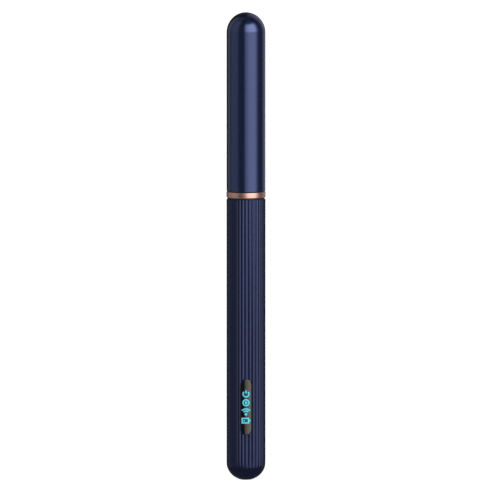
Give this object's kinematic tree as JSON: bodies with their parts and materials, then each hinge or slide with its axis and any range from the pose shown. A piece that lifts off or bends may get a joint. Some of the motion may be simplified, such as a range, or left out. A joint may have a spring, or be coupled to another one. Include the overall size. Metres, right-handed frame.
{
  "type": "ear camera pen",
  "caption": "Slim capped ear camera pen: fluted navy barrel with a lit pill button, rose-gold ring, and a smooth pull-off cap over the camera probe and its soft ear spoon.",
  "frame": {"origin": "centre of the flat end of the tail, on the pen's axis", "axes": "+Z along the pen from the tail to the cap; -Y towards the lit button; +X to the right seen from the button's side"},
  "size_m": [0.0128, 0.0128, 0.1534],
  "materials": {
    "cap_navy": "satin anodised",
    "barrel_navy": "fine matt anodised",
    "rose_gold": "polished, anodised",
    "window_black": "smoked, glossy",
    "black_plastic": "fine matt",
    "nose_black": "glossy",
    "grey_plastic": "matt",
    "white_plastic": "matt",
    "soft_tip": "soft, slightly glossy",
    "clear_plastic": "clear",
    "lens_glass": "coated",
    "rubber": "matt",
    "steel": "fine brushed",
    "tinplate": "satin",
    "board_green": "solder resist",
    "chip_resin": "matt",
    "ceramic": "fired, matt",
    "led_resin": "clear over phosphor",
    "flex_film": "amber film",
    "cell_foil": "foil pouch",
    "red_insulation": "extruded",
    "black_insulation": "extruded"
  },
  "bodies": {
    "pen": {"barrel": "barrel_navy", "trim_ring": "rose_gold", "front_collar": "black_plastic", "cap_grip_ring": "rubber", "nose_cone": "nose_black", "probe_tube": "steel", "camera_module": "black_plastic", "front_lens": "lens_glass", "light_guide_ring": "clear_plastic", "led_ring_board": "white_plastic", "probe_led_1": "led_resin", "probe_led_2": "led_resin", "probe_led_3": "led_resin", "probe_led_4": "led_resin", "inner_carrier": "grey_plastic", "main_board": "board_green", "board_screw_1": "steel", "board_screw_2": "steel", "charger_chip": "chip_resin", "backlight_led_1": "led_resin", "backlight_led_2": "led_resin", "backlight_led_3": "led_resin", "motion_sensor_chip": "chip_resin", "memory_chip": "chip_resin", "processor_chip": "chip_resin", "crystal_can": "tinplate", "wireless_shield": "tinplate", "camera_connector": "black_plastic", "antenna_chip": "ceramic", "tact_switch": "black_plastic", "usb_shell": "steel", "usb_insulator": "black_plastic", "battery_cell": "cell_foil", "battery_protection_board": "board_green", "battery_lead_positive": "red_insulation", "battery_lead_negative": "black_insulation", "camera_flex": "flex_film"},
    "cap": {"cap_shell": "cap_navy", "cap_liner": "white_plastic"},
    "spoon": {"ear_spoon": "soft_tip"},
    "button": {"button_window": "window_black", "button_light_guide": "clear_plastic"},
    "plunger": {"switch_plunger": "white_plastic"}
  },
  "joints": [
    {"name": "cap_slide", "type": "slide", "parent": "pen", "child": "cap", "axis": [0, 0, 1], "range_m": [0, 0.06]},
    {"name": "spoon_slide", "type": "slide", "parent": "pen", "child": "spoon", "axis": [0, 0, 1], "range_m": [0, 0.0095]},
    {"name": "button_press", "type": "slide", "parent": "pen", "child": "button", "axis": [0, 1, 0], "range_m": [0, 0.00035], "stiffness_N_per_m": 4000},
    {"name": "plunger_press", "type": "slide", "parent": "pen", "child": "plunger", "axis": [0, 1, 0], "range_m": [0, 0.00035]}
  ],
  "couplings": [
    {"joint": "plunger_press", "follows": "button_press", "ratio": 1}
  ]
}
